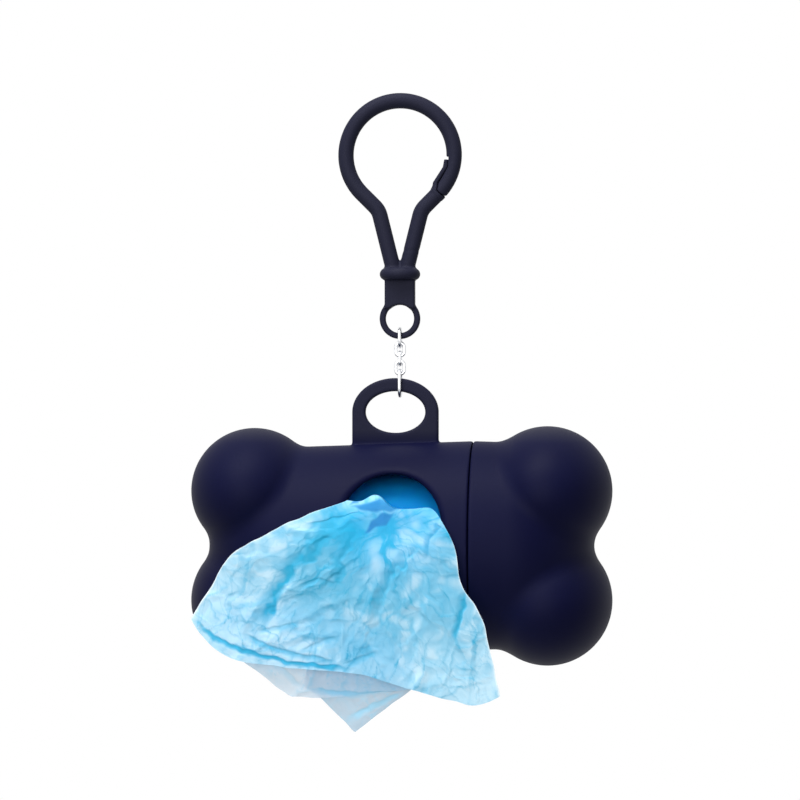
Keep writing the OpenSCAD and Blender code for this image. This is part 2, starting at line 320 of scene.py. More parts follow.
def mouldedPlastic(name, base, paler, top=None):
    material, tree = newMaterial(name)
    cloud = tree.noise(plastic["cloudScale"], 3)
    grain = tree.noise(plastic["grainScale"], 2)
    worn = tree.spread(tree.noise(plastic["scuffScale"], 5, 0.7), *plastic["scuffed"])
    colour = tree.colours(tree.spread(cloud, *plastic["clouds"]), base, paler)
    # Painted light: between these heights above the axis the plastic turns to the lighter top colour
    if top:
        place = tree.node("SeparateXYZ", {0: tree.place()})
        start, full = ((axisZ + rise) * mm for rise in plastic["paintedLightFade"])
        colour = tree.colours(tree.spread(place.outputs["Z"], start, full), colour, top)
    rough = tree.spread(cloud, *middle, *plastic["rough"]) + worn * plastic["scuffRough"]
    normal = tree.bump(grain, *plastic["grainBump"])
    normal = tree.bump(cloud, *plastic["cloudBump"], normal)
    tree.output(tree.shader("BsdfPrincipled", {
        "Base Color": colour, "Roughness": rough, "Normal": normal, "IOR": plastic["ior"],
        "Specular IOR Level": plastic["sheen"],
    }))
    return material


steel = {
    "dull": (0.6, 0.61, 0.63, 1),
    "bright": (0.8, 0.81, 0.83, 1),
    "rough": (0.16, 0.32),
    "brushScale": 2600,
    "brushBump": (0.2, 0.00001),
}


def chainSteel():
    material, tree = newMaterial("chain_steel")
    brush = tree.noise(steel["brushScale"], 3)
    tree.output(tree.shader("BsdfPrincipled", {
        "Base Color": tree.colours(tree.spread(brush, *middle), steel["dull"], steel["bright"]),
        "Roughness": tree.spread(brush, *middle, *steel["rough"]),
        "Metallic": 1.0,
        "Normal": tree.bump(brush, *steel["brushBump"]),
    }))
    return material


card = {
    "dark": (0.36, 0.235, 0.13, 1),
    "pale": (0.52, 0.37, 0.22, 1),
    "rough": (0.75, 0.92),
    "fibreScale": 1800,
    "fibreBump": (0.4, 0.00005),
    "blotchScale": 160,
    "blotchShare": 0.4,
    "mottle": (0.35, 0.65),
}


def brownCard():
    material, tree = newMaterial("brown_card")
    fibre = tree.noise(card["fibreScale"], 5, 0.65)
    blotch = tree.noise(card["blotchScale"], 3)
    mottle = fibre * (1 - card["blotchShare"]) + blotch * card["blotchShare"]
    tree.output(tree.shader("BsdfPrincipled", {
        "Base Color": tree.colours(tree.spread(mottle, *card["mottle"]), card["dark"], card["pale"]),
        "Roughness": tree.spread(fibre, *middle, *card["rough"]),
        "Normal": tree.bump(fibre, *card["fibreBump"]),
    }))
    return material


rolled = {
    "colour": (0.0, 0.15, 0.42, 1),
    "lighter": (0.001, 0.17, 0.47, 1),
    "rough": (0.62, 0.75),
    "cloudScale": 90,
    "cloudBump": (0.3, 0.0003),
    "fineScale": 900,
    "cloudShare": 0.6,
    "layerShare": 0.5,
    "mottle": (0.25, 0.75),
    "sheen": 0.04,
    "soft": 1.0,
    "reach": 0.016,
    "reachShares": (0.4, 0.8, 1.0),
}


def rolledFilm():
    material, tree = newMaterial("rolled_film")
    cloud = tree.noise(rolled["cloudScale"], 4)
    fine = tree.noise(rolled["fineScale"], 3)
    share = cloud * rolled["cloudShare"] + tree.painted("layers") * rolled["layerShare"]
    share = tree.spread(share, *rolled["mottle"])
    tree.output(tree.shader("BsdfPrincipled", {
        "Base Color": tree.colours(share, rolled["colour"], rolled["lighter"]),
        "Roughness": tree.spread(fine, *middle, *rolled["rough"]),
        "Normal": tree.bump(cloud, *rolled["cloudBump"]),
        "Specular IOR Level": rolled["sheen"],
        "Subsurface Weight": rolled["soft"],
        "Subsurface Scale": rolled["reach"],
        "Subsurface Radius": rolled["reachShares"],
    }))
    return material


film = {
    # pale: the colour of painted highlights, laid on by the pale attribute
    "pale": (0.56, 0.80, 0.93, 1),
    "sky": (0.205, 0.56, 0.78, 1),
    "deep": (0.004, 0.37, 0.61, 1),
    "blue": (0.0, 0.19, 0.45, 1),
    "white": (0.60, 0.69, 0.78, 1),
    "haze": (0.39, 0.58, 0.74, 1),
    # shade: the single ply's pale tone darkened, as painted shade on the tail
    "shade": (0.40, 0.50, 0.60, 1),
    # edge: the colour of a painted highlight along the film's edges
    "edge": (0.86, 0.95, 1.0, 1),
    "glow": (0.30, 0.66, 0.88, 1),
    "through": 0.36,
    "doubledClear": 0.02,
    "singleClear": 0.2,
    "tailClear": 0.16,
    "rough": (0.32, 0.46),
    "sheen": 0.26,
    "ior": 1.5,
    "hazeScale": 150,
    "hazeShare": 0.5,
    "paintedHighlightRange": (1.2, 2.0),
    "fineScale": 1300,
    "fineBump": (0.3, 0.0001),
}


def thinFilm(name, clear, *tones):
    material, tree = newMaterial(name)
    pale, sky, deep, blue = (film[tone] for tone in tones)
    haze = tree.noise(film["hazeScale"], 4, 0.6)
    fine = tree.noise(film["fineScale"], 4, 0.7)
    # Painted highlights: the pale attribute turns the film from its own colour towards the highlight
    # colour
    light = tree.painted("pale") + (haze - 0.5) * film["hazeShare"]
    colour = tree.colours(tree.spread(light, 0, 1), sky, pale)
    colour = tree.colours(tree.painted("deep"), colour, deep)
    colour = tree.colours(tree.painted("blue"), colour, blue)
    # Painted highlight: where pale passes 1.2, along the edges, the film turns to the edge colour
    rim = tree.spread(tree.painted("pale"), *film["paintedHighlightRange"])
    colour = tree.colours(rim, colour, film["edge"])
    normal = tree.bump(fine, *film["fineBump"])
    gloss = tree.shader("BsdfPrincipled", {
        "Base Color": colour, "Roughness": tree.spread(haze, *middle, *film["rough"]),
        "Normal": normal, "Specular IOR Level": film["sheen"], "IOR": film["ior"],
    })
    through = tree.shader("BsdfTranslucent", {"Color": film["glow"], "Normal": normal})
    body = tree.shader("MixShader", {0: film["through"], 1: gloss, 2: through})
    gone = tree.shader("BsdfTransparent", {"Color": (1, 1, 1, 1)})
    tree.output(tree.shader("MixShader", {0: clear, 1: body, 2: gone}))
    return material


# Distances to surfaces, less than 0 inside
def softMin(a, b, k):
    h = np.clip(0.5 + 0.5 * (b - a) / k, 0, 1)
    return b + (a - b) * h - k * h * (1 - h)


def softMax(a, b, k):
    return -softMin(-a, -b, k)


def ellipsoid(x, y, z, a, b, c):
    inner = np.sqrt((x / a) ** 2 + (y / b) ** 2 + (z / c) ** 2)
    slope = np.sqrt((x / a**2) ** 2 + (y / b**2) ** 2 + (z / c**2) ** 2) + 1e-9
    return inner * (inner - 1) / slope


def oval(x, z, a, b):
    inner = np.sqrt((x / a) ** 2 + (z / b) ** 2)
    slope = np.sqrt((x / a**2) ** 2 + (z / b**2) ** 2) + 1e-9
    return inner * (inner - 1) / slope


def slab(flat, across, edge):  # a flat shape given its thickness, with rounded edges
    outside = np.hypot(np.maximum(flat + edge, 0), np.maximum(across + edge, 0))
    inside = np.minimum(np.maximum(flat + edge, across + edge), 0)
    return outside + inside - edge


def segmentDistance(x, z, start, end):
    run = np.subtract(end, start)
    share = np.clip(((x - start[0]) * run[0] + (z - start[1]) * run[1]) / (run @ run), 0, 1)
    return np.hypot(x - start[0] - share * run[0], z - start[1] - share * run[1])


def pathDistance(x, z, points):
    nearest = np.full(np.broadcast(x, z).shape, 1e9, np.float32)
    for start, end in zip(points, points[1:]):
        nearest = np.minimum(nearest, segmentDistance(x, z, start, end))
    return nearest


def polygonDistance(x, z, points):
    x, z = x + 0 * z, z + 0 * x
    inside = np.zeros(x.shape, bool)
    for (ax, az), (bx, bz) in zip(points, points[1:] + points[:1]):
        if az != bz:
            crosses = (az > z) != (bz > z)
            inside ^= crosses & (x < (bx - ax) * (z - az) / (bz - az) + ax)
    nearest = pathDistance(x, z, points + points[:1])
    return np.where(inside, -nearest, nearest)


def meshFromField(name, low, high, voxel, field):
    counts = np.ceil((high - low) / voxel).astype(int) + 1
    axes = [low[i] + voxel * np.arange(counts[i], dtype=np.float32) for i in range(3)]
    x, y, z = np.meshgrid(*axes, indexing="ij", sparse=True)
    values = field(x.astype(np.float32), y.astype(np.float32), z.astype(np.float32))
    values = np.ascontiguousarray(np.broadcast_to(values, counts), dtype=np.float32)
    band = 4 * voxel
    grid = openvdb.FloatGrid(10 * voxel)
    grid.copyFromArray(np.clip(values, -band, band))
    points, quads = grid.convertToQuads(isovalue=0.0)
    points = (points * voxel + low) * mm
    mesh = bpy.data.meshes.new(name)
    mesh.vertices.add(len(points))
    mesh.vertices.foreach_set("co", points.astype(np.float32).ravel())
    mesh.loops.add(quads.size)
    mesh.loops.foreach_set("vertex_index", quads[:, ::-1].astype(np.int32).ravel())
    mesh.polygons.add(len(quads))
    mesh.polygons.foreach_set("loop_start", np.arange(0, quads.size, 4, dtype=np.int32))
    mesh.polygons.foreach_set("use_smooth", np.ones(len(quads), bool))
    mesh.update(calc_edges=True)
    mesh.validate()
    piece = addObject(name, mesh)
    outwards(piece)
    stage(f"{name}: {len(quads)} faces")
    return piece


# The case, in millimetres
case = {
    "seamRadius": 20.8,
    "endRadius": 19.6,
    "capTaper": 0.2,
    "bore": 17.8,
    "wall": 1.8,
    "halfLength": capHigh[0] - caseX,
    "notch": 3.6,  # how far the end's middle stays behind the lobes
    "domeLength": 17.0,
    "boreDome": 12.0,
    "seamGap": 0.2,
    "lobeRadius": 12.9,
    "lobeShrink": 0.4,
    "lobeDepth": 19.6,
    "lobeProud": 3.0,
    "blend": 1.5,
    "hollowBlend": 1.2,
    "holeRadius": 9.7,
    "holeX": -0.3,
    "holeRise": 4.6,
    "holeRound": 1.9,
    "holeBack": -4.0,
    "spigotLength": 7.0,
    "spigotRadius": 19.2,
    "spigotRoot": 2.0,
    "socketRadius": 19.28,
    "socketDepth": 7.4,
    "edge": 0.35,
    "voxel": 0.26,
    "room": 1.5,
}
tab = {
    "x": -0.9,
    "top": housingHigh[2],
    "slotHalfWidth": 6.0,
    "slotHalfHeight": 4.15,
    "rim": 2.65,
    "foot": 7.8,
    "thickness": 2.2,
    "edge": 0.45,
    "blend": 0.5,
}


def barrelField(x, y, z, side, farRadius, nearRadius, far, dome):
    along = side * (x - caseX)
    around = np.hypot(y, z - axisZ)
    seam = side * (seamX - caseX)
    domeStart = far - dome
    share = np.clip((along - seam) / (domeStart - seam), 0, 1)
    radius = nearRadius + (farRadius - nearRadius) * share
    return ellipsoid(np.maximum(along - domeStart, 0), around, 0, dome, radius, 1.0)


def lobesField(x, y, z, side, thin=0.0):
    shrink = case["lobeShrink"] if side < 0 else 0
    radius = case["lobeRadius"] - shrink
    depth = case["lobeDepth"] - shrink
    across = x - caseX - side * (case["halfLength"] - radius)
    rise = case["seamRadius"] + case["lobeProud"] - case["lobeRadius"]
    size = (radius - thin, depth - thin, radius - thin)
    return np.minimum(
        ellipsoid(across, y, z - axisZ - rise, *size),
        ellipsoid(across, y, z - axisZ + rise, *size),
    )


def outerField(x, y, z, side):
    far = case["halfLength"] - case["notch"]
    near = case["seamRadius"]
    farRadius = case["endRadius"] if side < 0 else near - case["capTaper"]
    barrel = barrelField(x, y, z, side, farRadius, near, far, case["domeLength"])
    return softMin(barrel, lobesField(x, y, z, side), case["blend"])


def hollowField(x, y, z, side):
    far = case["halfLength"] - case["notch"] - case["wall"]
    bore = case["bore"]
    barrel = barrelField(x, y, z, side, bore, bore, far, case["boreDome"])
    lobes = lobesField(x, y, z, side, case["wall"])
    core = np.hypot(y, z - axisZ) - bore
    return softMax(softMin(barrel, lobes, case["hollowBlend"]), core, case["edge"])


def tabField(x, y, z):
    halfWidth = tab["slotHalfWidth"] + tab["rim"]
    halfHeight = tab["slotHalfHeight"] + tab["rim"]
    across, up = x - tab["x"], z - tab["top"] + halfHeight
    crown = oval(across, up, halfWidth, halfHeight)
    sides = np.maximum(np.abs(across) - halfWidth, np.maximum(up, -up - tab["foot"]))
    slot = oval(across, up, tab["slotHalfWidth"], tab["slotHalfHeight"])
    flat = np.maximum(np.minimum(crown, sides), -slot)
    return slab(flat, np.abs(y) - tab["thickness"] / 2, tab["edge"])


def housingField(x, y, z):
    edge = case["edge"]
    pastSeam = x - seamX + case["seamGap"]
    body = softMax(outerField(x, y, z, -1), pastSeam, edge)
    body = softMin(body, tabField(x, y, z), tab["blend"])
    around = np.hypot(y, z - axisZ)
    spigot = softMax(around - case["spigotRadius"], pastSeam - case["spigotLength"], edge)
    body = np.minimum(body, np.maximum(spigot, seamX - case["spigotRoot"] - x))
    body = softMax(body, -hollowField(x, y, z, -1), edge)
    mouth = np.maximum(around - case["bore"], caseX - x)
    body = softMax(body, -mouth, edge)
    hole = np.hypot(x - case["holeX"], z - axisZ - case["holeRise"]) - case["holeRadius"]
    return softMax(body, -np.maximum(hole, y - case["holeBack"]), case["holeRound"])


def capField(x, y, z):
    edge = case["edge"]
    body = softMax(outerField(x, y, z, 1), seamX - x, edge)
    body = softMax(body, -hollowField(x, y, z, 1), edge)
    around = np.hypot(y, z - axisZ)
    pastSeam = x - seamX + case["seamGap"]
    socket = np.maximum(around - case["socketRadius"], pastSeam - case["socketDepth"])
    return softMax(body, -socket, edge)


def makeCase(material):
    room, voxel = case["room"], case["voxel"]
    housing = meshFromField("case_shell", housingLow - room, housingHigh + room, voxel, housingField)
    cap = meshFromField("cap_shell", capLow - room, capHigh + room, voxel, capField)
    finishPiece(housing, material, "case", "case_plastic", "housing")
    finishPiece(cap, material, "cap", "case_plastic", "end_cap")


# The snap clip, in millimetres from the middle of its loop
clip = {
    "loop": 10.85,
    "bar": 1.55,
    "leave": 45.0,  # degrees at which the arms leave the loop
    "bend": 31.0,
    "bendRadius": 4.0,
    "bendSteps": 7,
    "run": 3.7,
    "drop": 10.5,
    "collarRadius": 4.05,
    "collarHeight": 2.4,
    "stemHalfWidth": 3.0,
    "stemHalfThick": 1.5,
    "stemHeight": 7.7,
    "stemEdge": 0.35,
    "stemInCollar": 0.5,
    "stemInEye": 2.0,
    "eyeInner": 2.85,
    "eyeRim": 1.2,
    "eyeHalfThick": 0.9,
    "eyeEdge": 0.4,
    "rootHeight": 4.0,  # the gate's arm grows from the frame's stub here
    "armFoot": 1.2,
    "thin": 0.12,
    "thinLength": 1.0,
    "gap": 0.16,
    "vee": 0.45,
    "tipIn": 0.7,
    "tipTop": -0.4,
    "knee": -2.5,
    "heel": -5.6,
    "heelIn": 2.0,
    "ledge": -7.3,
    "ledgeRun": 4.0,
    "tongue": 1.15,
    "tongueTop": -1.0,
    "tongueHalfWidth": 1.1,
    "tongueEdge": 0.3,
    "tongueTaper": 0.8,
    "zoneTop": 20,
    "zoneRight": 20,
    "noseBottom": -12,
    "gateInner": 3,
    "gateBottom": -14,
    "gateArc": (-48, -30),  # degrees of the loop that the gate has
    "noseRound": 0.25,
    "splitRound": 0.2,
    "eyeRound": 0.3,
    "eyeBlend": 0.4,
    "stemBlend": 0.35,
    "arcBlend": 0.3,
    "tongueBlend": 0.8,
    "flexStart": 2.0,
    "gateSpare": 3.0,
    "soft": 0.7,
    "voxel": 0.13,
    "room": 1.0,
}
farOff = 5.0  # a distance that no surface comes near


def armLean():
    return math.radians(clip["leave"] - clip["bend"])


def armPoints():
    leave, lean = math.radians(clip["leave"]), armLean()
    outward = np.array([math.cos(leave), -math.sin(leave)])
    first = clip["loop"] * outward
    second = first - clip["run"] * np.array([math.sin(leave), math.cos(leave)])
    centre = second + clip["bendRadius"] * outward
    turns = np.linspace(math.pi - leave, math.pi - lean, clip["bendSteps"])
    curve = [tuple(centre + clip["bendRadius"] * np.array([math.cos(t), math.sin(t)])) for t in turns]
    foot = np.array(curve[-1]) - clip["drop"] * np.array([math.tan(lean), 1])
    return [tuple(first)] + curve + [tuple(foot)]


def splitLine(shift):  # the joint between the nose and the tongue
    tipX = clip["loop"] - clip["bar"] + clip["tipIn"] + shift
    heelX = tipX - clip["heelIn"]
    ledge, run = clip["ledge"] + shift, clip["ledgeRun"]
    return [(tipX, clip["knee"]), (heelX, clip["heel"]), (heelX, ledge), (heelX + run, ledge - run)]


def noseZone():
    line, top, right = splitLine(0), clip["zoneTop"], clip["zoneRight"]
    return [(line[0][0], top)] + line + [(right, clip["noseBottom"]), (right, top)]


def gateZone():
    line, top, bottom = splitLine(clip["gap"]), clip["tipTop"], clip["gateBottom"]
    return [(0, top), (line[0][0], top)] + line + [(clip["gateInner"], bottom), (0, bottom)]


def ringField(x, y, z):
    return np.hypot(np.hypot(x, z) - clip["loop"], y) - clip["bar"]


def collarField(x, y, z, top):
    half = clip["collarHeight"] / 2
    up = z - top + half
    across = np.maximum(np.hypot(x, y) - clip["collarRadius"] + half, 0)
    return np.maximum(np.hypot(across, up) - half, np.abs(up) - half)


def eyeAndStemField(x, y, z, stemTop):
    eyeZ = stemTop - clip["stemHeight"]
    upAndDown = np.maximum(z - stemTop - clip["stemInCollar"], eyeZ + clip["stemInEye"] - z)
    flat = np.maximum(np.abs(x) - clip["stemHalfWidth"], upAndDown)
    stem = slab(flat, np.abs(y) - clip["stemHalfThick"], clip["stemEdge"])
    fromEye = np.hypot(x, z - eyeZ)
    stem = softMax(stem, clip["eyeInner"] - fromEye, clip["eyeRound"])
    half = clip["eyeRim"] / 2
    around = np.abs(fromEye - clip["eyeInner"] - half) - half
    eye = slab(around, np.abs(y) - clip["eyeHalfThick"], clip["eyeEdge"])
    return softMin(stem, eye, clip["eyeBlend"])


def clipFrameField(x, y, z):
    ring = ringField(x, y, z)
    below = (z < 0) & (x < 0) & (np.degrees(np.arctan2(z, -x)) < -clip["leave"])
    ring = np.where(below, farOff, ring)
    zone = polygonDistance(x + clip["vee"] * np.abs(y), z, gateZone())
    ring = softMax(ring, -zone, clip["noseRound"])
    arm = np.hypot(pathDistance(-x, z, armPoints()), y) - clip["bar"]
    footX, footZ = armPoints()[-1]
    rootTop = (footX + clip["rootHeight"] * math.tan(armLean()), footZ + clip["rootHeight"])
    share = np.clip((z - rootTop[1] + clip["thinLength"]) / clip["thinLength"], 0, 1.5)
    stub = np.hypot(segmentDistance(x, z, (footX, footZ), rootTop), y) - clip["bar"] + clip["thin"] * share
    body = softMin(np.minimum(ring, arm), np.maximum(stub, z - rootTop[1]), clip["soft"])
    body = softMin(body, collarField(x, y, z, footZ), clip["soft"])
    stem = eyeAndStemField(x, y, z, footZ - clip["collarHeight"])
    return softMin(body, stem, clip["stemBlend"])


def tongueOutline():
    line = splitLine(0)
    across = clip["tongue"] / math.cos(math.atan2(clip["heelIn"], clip["knee"] - clip["heel"]))
    (tipX, knee), (heelX, heel), (_, ledge) = line[:3]
    return [(tipX, clip["tongueTop"]), (tipX, knee), (heelX, heel), (heelX, ledge),
            (heelX - across, ledge), (heelX - across, heel), (tipX - across, knee),
            (tipX - clip["tongueTaper"] * across, clip["tongueTop"])]


def clipGateField(x, y, z):
    points = armPoints()
    footX, footZ = points.pop()
    low = (footX + clip["armFoot"] * math.tan(armLean()), footZ + clip["armFoot"])
    share = np.clip((footZ + clip["rootHeight"] - z) / clip["thinLength"], 0, 1.5)
    arm = np.hypot(pathDistance(x, z, points + [low]), y) - clip["bar"] + clip["thin"] * share
    angle = np.degrees(np.arctan2(z, x))
    first, last = clip["gateArc"]
    ring = np.where((angle > first) & (angle < last), ringField(x, y, z), farOff)
    body = softMin(arm, ring, clip["arcBlend"])
    flat = polygonDistance(x, z, tongueOutline())
    blade = slab(flat, np.abs(y) - clip["tongueHalfWidth"], clip["tongueEdge"])
    body = softMin(body, blade, clip["tongueBlend"])
    zone = polygonDistance(x + clip["vee"] * np.abs(y), z, noseZone())
    return softMax(body, -zone, clip["splitRound"])


def makeClip(material):
    room, voxel = clip["room"], clip["voxel"]
    body = meshFromField("clip_body", clipLow - room, clipHigh + room, voxel, clipFrameField)
    gateBottom = gateLow - room - np.array([0, 0, clip["gateSpare"]])
    gate = meshFromField("clip_arm", gateBottom, gateHigh + room, voxel, clipGateField)
    finishPiece(body, material, "clip", "clip_plastic", "clip_frame")
    finishPiece(gate, material, None, "clip_plastic", "clip_gate")
    foot, bendEnd = armPoints()[-1], armPoints()[-2]
    low = (foot[0] * mm, 0, (foot[1] + clip["flexStart"]) * mm)
    high = (bendEnd[0] * mm, 0, bendEnd[1] * mm)
    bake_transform(gate)


def dressCadNodes():
    links, core = chainSteel(), brownCard()
    for name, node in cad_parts.items():
        if name.startswith("chain_link") or name == "roll_core":
            node.data.materials.clear()
            node.data.materials.append(links if name.startswith("chain") else core)


# The wound film, in millimetres
roll = {
    "inner": 6.05,
    "clear": 0.12,
    "turns": 26,
    "around": 220,
    "along": 60,
    "wander": 0.12,
    "skin": 0.02,
    "edge": 0.1,
    "dent": 0.1,
    "dents": ((3, 9), (7, -5)),  # waves around, and millimetres along for each radian of twist
    "seed": 4,
}


def rollProfile():
    half = (rollHigh[0] - rollLow[0]) / 2
    rings = np.linspace(roll["inner"], rollRadius - roll["clear"], 3 * roll["turns"])
    wander = roll["wander"] * np.random.default_rng(roll["seed"]).standard_normal(len(rings))
    wander[-1] = 0
    skin, edge = roll["skin"], roll["edge"]
    profile = [(-half + max(w, 0) + skin, r) for r, w in zip(rings, wander)]
    profile += [(t, rollRadius - skin) for t in np.linspace(-half + edge, half - edge, roll["along"])]
    profile += [(-a, r) for a, r in reversed(profile[:len(rings)])]
    layers = [i % 3 / 2 for i in range(len(rings))]
    return profile, layers + [0.5] * roll["along"] + layers[::-1]


def makeRoll(material):
    profile, layers = rollProfile()
    around, count = roll["around"], len(profile)
    points, faces = [], []
    for i in range(around):
        t = 2 * math.pi * i / around
        k = (i + 1) % around
        for j, (a, radius) in enumerate(profile):
            if radius > rollRadius - roll["edge"]:
                sway = sum(math.sin(waves * t + a / twist) for waves, twist in roll["dents"])
                radius -= roll["dent"] * abs(sway) / 2
            place = (rollX + a, -radius * math.sin(t), rollZ + radius * math.cos(t))
            points.append([value * mm for value in place])
            after = (j + 1) % count
            faces.append((i * count + j, i * count + after, k * count + after, k * count + j))
    mesh = newMesh("film_roll", points, faces)
    paint(mesh, "layers", layers * around)
    piece = addObject("film_roll", mesh)
    outwards(piece)
    finishPiece(piece, material, "roll", "rolled_film", "bag_roll")


# Outlines of the film, in millimetres across and up
frontFilm = {
    "top": [(-8.8, -68.5), (-6.0, -68.7), (-3.0, -67.5), (0.6, -69.9), (4.0, -70.2), (7.6, -70.0),
            (9.6, -72.0)],
    "bottom": [(-38.9, -91.3), (-36.8, -94.6), (-34.0, -97.3), (-30.2, -99.2), (-25.0, -100.1),
               (-17.7, -100.9), (-6.0, -101.9), (4.5, -105.0), (13.8, -107.3), (17.5, -107.4),
               (21.1, -105.9)],
    "left": [(-8.8, -68.5), (-16.1, -71.1), (-22.9, -74.2), (-28.2, -77.1), (-31.4, -79.6), (-35.1, -85.5),
             (-38.9, -91.3)],
    "right": [(9.6, -72.0), (11.4, -75.0), (12.7, -78.6), (13.8, -84.8), (16.3, -88.4), (17.9, -91.6),
              (18.9, -95.7), (20.3, -102.1), (21.1, -105.9)],
    "across": 300,
    "down": 240,
    "behind": 0.0,
    "puff": 0.9,
    "crumple": 0.37,
    "seed": 7,
    "fromRoll": True,
}
backFilm = {
    "top": [(-33.0, -86.0), (-20.0, -88.0), (-5.0, -92.0), (4.0, -97.0)],
    "bottom": [(-37.4, -92.2), (-30.0, -98.9), (-24.9, -102.6), (-20.6, -105.8), (-19.8, -106.3),
               (-18.6, -106.5), (-12.5, -106.6), (-4.0, -105.8), (4.2, -104.8)],
    "left": [(-33.0, -86.0), (-37.4, -92.2)],
    "right": [(4.0, -97.0), (4.2, -104.8)],
    "across": 130,
    "down": 70,
    "behind": 2.2,
    "puff": 0.3,
    "crumple": 0.45,
    "seed": 8,
}
tailFilm = {
    "top": [(-16.5, -100.5), (-6.0, -101.0), (4.0, -102.0)],
    "bottom": [(-17.2, -104.5), (-13.2, -107.4), (-9.4, -111.1), (-7.7, -112.9), (-7.1, -113.3),
               (-6.3, -112.7), (-2.0, -109.3), (4.4, -104.6)],
    "left": [(-16.5, -100.5), (-17.2, -104.5)],
    "right": [(4.0, -102.0), (4.4, -104.6)],
    "across": 90,
    "down": 60,
    "behind": 2.9,
    "puff": 0.2,
    "crumple": 0.4,
    "seed": 9,
}


def fold(points, width, depth, cyan, **more):
    return {"points": points, "width": width, "depth": depth, "cyan": cyan, **more}


# Folds that look like cyan lines and bands: points, width and depth in millimetres, how cyan
mainFolds = [
    fold([(-37.6, -91.8), (-34.4, -94.9), (-30.1, -96.7), (-24.6, -98.3), (-18.6, -99.7),
          (-12.5, -100.3), (-8.2, -100.7)], 0.55, 0.3, 1.0, soft=1.6, full=1.7),
    fold([(-28.6, -94.2), (-22.1, -96.9), (-16.3, -98.3), (-10.9, -99.4)], 0.5, 0.45, 0.7, soft=2.5),
    fold([(-8.6, -100.0), (-5.5, -98.6), (-2.5, -97.5)], 0.5, 0.35, 0.6),
    fold([(-10.7, -72.5), (-12.8, -76.1), (-15.9, -79.4), (-19.0, -82.3), (-21.3, -85.3),
          (-23.2, -89.6), (-24.6, -93.4)], 1.9, 0.4, 1.0, soft=1.7, full=1.1),
    fold([(-6.3, -74.2), (-8.4, -77.5), (-9.8, -79.6), (-9.2, -83.0), (-9.8, -84.6)],
         1.2, 0.45, 0.8, soft=1.7),
    fold([(-16.3, -73.0), (-12.8, -72.3), (-9.8, -71.6), (-4.8, -70.6)], 0.5, 0.4, 0.7),
    fold([(4.9, -76.1), (3.1, -80.0), (-0.2, -83.6), (-1.5, -87.7), (-2.0, -92.0)],
         1.3, 0.6, 0.4, soft=1.6),
    fold([(14.7, -86.1), (13.9, -90.0), (12.4, -95.3)], 0.6, 0.55, 0.95),
    fold([(-17.8, -84.8), (-14.4, -83.6), (-9.8, -84.2)], 0.45, 0.3, 0.5),
    fold([(-25.5, -93.6), (-21.7, -92.7), (-17.8, -91.9)], 0.4, 0.3, 0.4),
    fold([(-17.8, -97.5), (-14.0, -95.7), (-10.1, -94.6)], 0.4, 0.3, 0.35),
    fold([(8.3, -72.7), (9.7, -73.4), (7.4, -75.9), (7.2, -79.2)], 0.4, 0.3, 0.6, blue=0.3, full=0.9),
    fold([(-5.9, -96.9), (-3.6, -96.3)], 0.9, 0.25, 0.5),
    fold([(-8.2, -69.6), (-10.4, -72.6), (-12.6, -76.4), (-14.2, -79.4)],
         2.2, 0.1, 0.8, soft=1.6, full=1.5),
]
backFolds = [
    fold([(-15.5, -104.9), (-6.3, -105.8), (2.2, -105.3)], 0.45, 0.2, 0.8, full=1.5),
    fold([(-24.0, -99.0), (-20.5, -101.5), (-17.5, -104.5)], 0.6, 0.3, 0.5),
]
tailFolds = [
    fold([(-8.6, -110.7), (-3.0, -107.6), (1.5, -105.6)], 0.5, 0.2, 0.95, full=1.6),
    fold([(-12.8, -105.6), (-8.0, -106.0), (-1.0, -105.0)], 0.4, 0.15, 0.7, full=1.5),
]
# Corners of the flaps that lie doubled over and look deep blue, beside the hole
flaps = (
    [(-7.7, -69.7), (-4.6, -68.7), (-2.4, -67.9), (-1.1, -68.6), (1.6, -70.3), (-3.8, -70.5)],
    [(-4.9, -74.6), (-4.1, -72.4), (-2.3, -71.0), (0.7, -70.7), (-0.7, -73.2), (-2.8, -73.4)],
    [(-8.0, -69.2), (-7.4, -68.0), (-6.2, -67.9), (-6.6, -68.9)],
)
# How the film lies over the case, in millimetres
drape = {
    "gap": 1.4,
    "lip": 0.5,  # how far the film swells out of the hole
    "lipRows": 12,
    "lipRise": 0.3,
    "lipDrop": 1.2,
    "wave": 0.3,
    "wavePitch": 2.5,
    "calm": (8, 0.35),  # creases fade towards the hole over this length, down to this share
    "sinkEdge": 0.5,
    "sinkReach": 8,
    "sinkDrop": 9,
    "sinkFade": 12,
    "rollGap": 0.3,
    "leastFront": 60,
}
# Small folds that run out from the hole
creases = {
    "kinds": (  # folds for each square millimetre, size, height and strength of colour
        (0.022, 1.5, 0.38, 0.46),
        (0.072, 0.85, 0.18, 0.60),
        (0.40, 0.42, 0.045, 0.55),
    ),
    "straying": (0.13, 0.019),  # radians at the hole, and for each millimetre away from it
    "lengths": (3.5, 9.5),
    "widths": (0.9, 2.0),
    "heights": (0.4, 1.3),
    "steep": 0.5,
    "bow": 0.12,
    "bend": 1.5,
    "bendPitch": 2.6,
    "fineBend": 0.4,
    "fineBendPitch": 0.9,
    "bendSeed": 11,
    "deepFrom": 0.45,  # a fold drawn above this is deep, one below it is pale
    "deep": (1.3, 0.3),
    "pale": (0.9, 0.6),
}
# How the folds of the lists above are drawn
strokes = {
    "wobbleWaves": 0.8,
    "roughWaves": 1.3,
    "rough": (0.75, 0.45),
    "taper": (5, 0.15),
    "soft": 2.2,
    "sharp": 0.6,
    "full": 1.4,
    "curve": 0.8,
}
